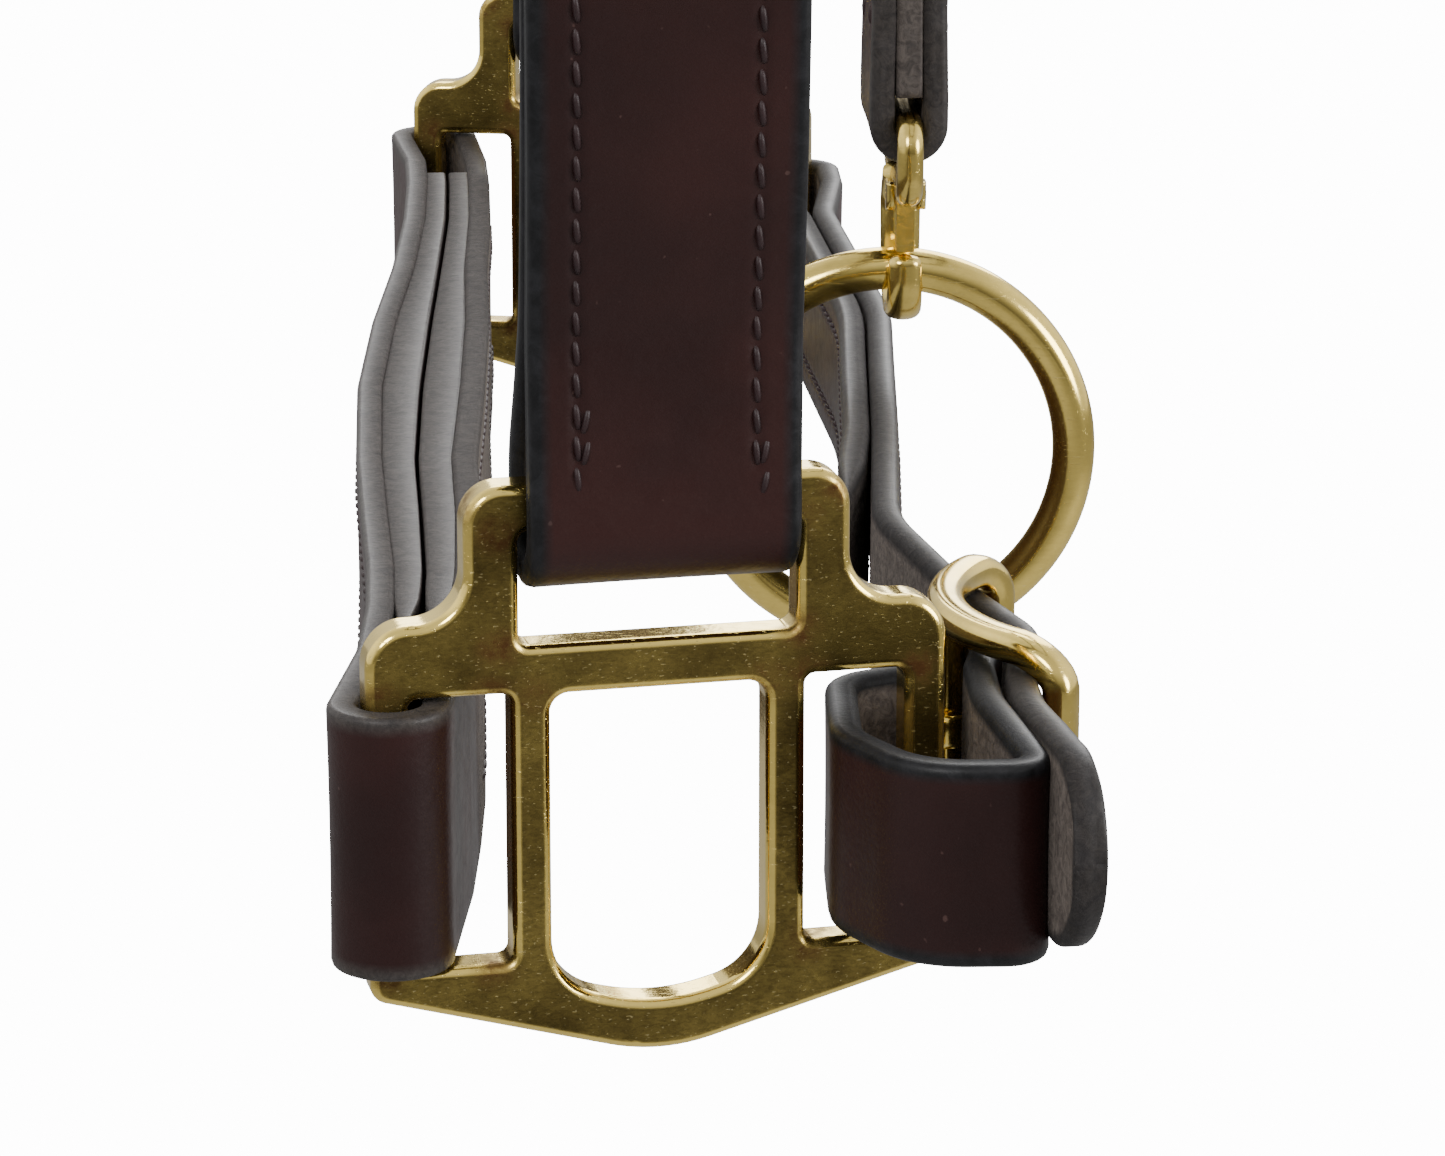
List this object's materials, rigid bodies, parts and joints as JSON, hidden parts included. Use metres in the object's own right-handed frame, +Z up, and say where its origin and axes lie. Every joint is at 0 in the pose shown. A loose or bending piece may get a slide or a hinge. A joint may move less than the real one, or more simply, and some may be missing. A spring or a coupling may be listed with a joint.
{
  "type": "leather headcollar",
  "caption": "Leather headcollar for a horse, with brass cheek squares, rings and buckles, a noseband, a throat strap, and a snap hook that holds its chin ring.",
  "frame": {"origin": "underside of the crown strap at its middle, where it lies over the poll or a peg", "axes": "+Z up, -X towards the nose, +X towards the jaw, -Y the near side with the crown buckle"},
  "size_m": [0.1415, 0.3048, 0.4859],
  "materials": {
    "leather": "satin burgundy-brown grain with blackened edges",
    "brass": "cast and polished, scratched, with brown tarnish in the corners",
    "steel": "spring steel"
  },
  "bodies": {
    "headcollar": {"near_cheek_square": "brass", "far_cheek_square": "brass", "near_throat_ring": "brass", "far_throat_ring": "brass", "near_cheek_strap": "leather", "far_cheek_strap": "leather", "crown_buckle_frame": "brass", "chin_buckle_frame": "brass", "crown_chape": "leather", "crown_strap": "leather", "crown_fixed_keeper": "leather", "noseband": "leather", "chin_chape": "leather", "chin_strap": "leather", "throat_strap": "leather"},
    "crown_tongue": {"crown_buckle_tongue": "brass"},
    "chin_tongue": {"chin_buckle_tongue": "brass"},
    "running_keeper": {"crown_running_keeper": "leather"},
    "connector": {"connector_strap": "leather"},
    "snap": {"snap_hook": "brass", "snap_gate_pin": "brass", "snap_gate_spring": "steel"},
    "gate": {"snap_gate": "brass"},
    "chin_ring": {"chin_ring": "brass"}
  },
  "joints": [
    {"name": "crown_tongue_hinge", "type": "hinge", "parent": "headcollar", "child": "crown_tongue", "pos_m": [0, -0.12963, -0.14955], "axis": [1, 0, 0], "range_deg": [0, 3]},
    {"name": "chin_tongue_hinge", "type": "hinge", "parent": "headcollar", "child": "chin_tongue", "pos_m": [0.0285, -0.098, -0.4593], "axis": [0, 0, -1], "range_deg": [0, 3]},
    {"name": "running_keeper_slide", "type": "slide", "parent": "headcollar", "child": "running_keeper", "axis": [0, 0.3039, 0.9527], "range_m": [-0.005, 0.0025]},
    {"name": "connector_slide", "type": "slide", "parent": "headcollar", "child": "connector", "axis": [0, 1, 0], "range_m": [-0.025, 0.025]},
    {"name": "snap_swing", "type": "hinge", "parent": "connector", "child": "snap", "pos_m": [0.031, 0.006, -0.42004], "axis": [0, 1, 0], "range_deg": [-6, 12]},
    {"name": "ring_swing", "type": "hinge", "parent": "snap", "child": "chin_ring", "pos_m": [0.031, 0.006, -0.43819], "axis": [1, 0, 0], "range_deg": [-25, 25]},
    {"name": "gate_hinge", "type": "hinge", "parent": "snap", "child": "gate", "pos_m": [0.031, 0.00175, -0.42864], "axis": [1, 0, 0], "range_deg": [0, 30], "stiffness_Nm_per_rad": 0.02, "springref_deg": -17.19, "deforming": ["snap_gate_spring"]}
  ]
}
